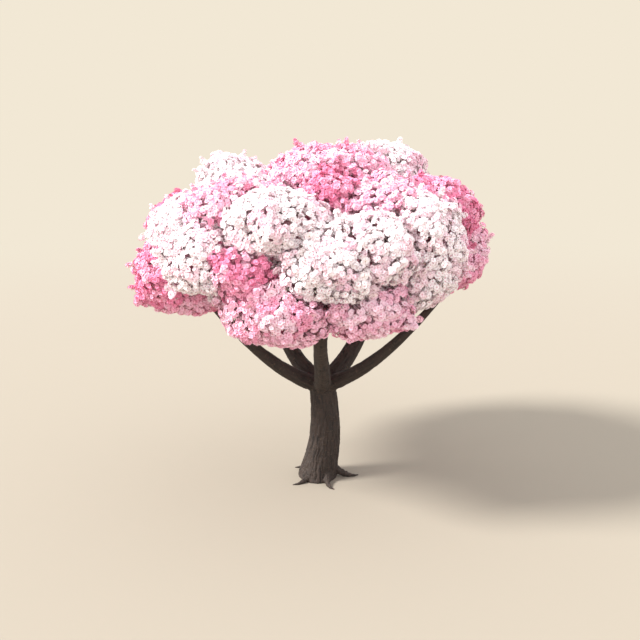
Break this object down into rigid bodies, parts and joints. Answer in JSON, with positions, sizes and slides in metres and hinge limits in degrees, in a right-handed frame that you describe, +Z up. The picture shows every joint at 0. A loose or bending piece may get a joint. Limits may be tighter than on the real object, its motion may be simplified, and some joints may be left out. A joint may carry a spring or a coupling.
{
  "type": "cherry blossom tree",
  "caption": "Mature flowering cherry in full blossom: short stout trunk with surface roots, a bowl of rising boughs and a broad low crown of rounded masses of white and pink blossom.",
  "frame": {"origin": "middle of the flat cut under the trunk, at ground level", "axes": "+Z up along the trunk, the front of the tree faces -Y and its right-hand side is +X"},
  "size_m": [6.7291, 6.3965, 6.5772],
  "materials": {
    "bark": "dark brown ridged bark with pale cross bands",
    "blossom_white": "white blossom with a pink blush",
    "blossom_pink": "pale pink blossom",
    "blossom_deep": "deep pink blossom"
  },
  "bodies": {
    "root": {"trunk": "bark", "bough_front": "bark", "bough_right": "bark", "bough_back_right": "bark", "bough_back_left": "bark", "bough_left": "bark", "mass_front_high_left": "blossom_white", "mass_front_mid_right": "blossom_white", "mass_front_right": "blossom_white", "mass_front_mid": "blossom_white", "mass_front_deep": "blossom_deep", "mass_low_left": "blossom_pink", "mass_low_right": "blossom_pink", "mass_left_low": "blossom_deep", "mass_right_low": "blossom_deep", "mass_right_rear_low": "blossom_pink", "mass_rear_right_low": "blossom_deep", "mass_rear_low": "blossom_white", "mass_rear_left_low": "blossom_pink", "mass_left_rear_low": "blossom_white", "mass_left_front": "blossom_white", "mass_left_far": "blossom_white", "mass_left_rear": "blossom_deep", "mass_rear_left": "blossom_white", "mass_rear": "blossom_pink", "mass_rear_right": "blossom_white", "mass_right_back": "blossom_pink", "mass_left_high": "blossom_pink", "mass_high_right": "blossom_pink", "mass_high_mid": "blossom_deep", "mass_right_high": "blossom_deep", "mass_crown_left": "blossom_white", "mass_rear_high": "blossom_deep", "mass_top": "blossom_pink", "mass_back_left": "blossom_white", "mass_back_right": "blossom_white"}
  },
  "joints": []
}
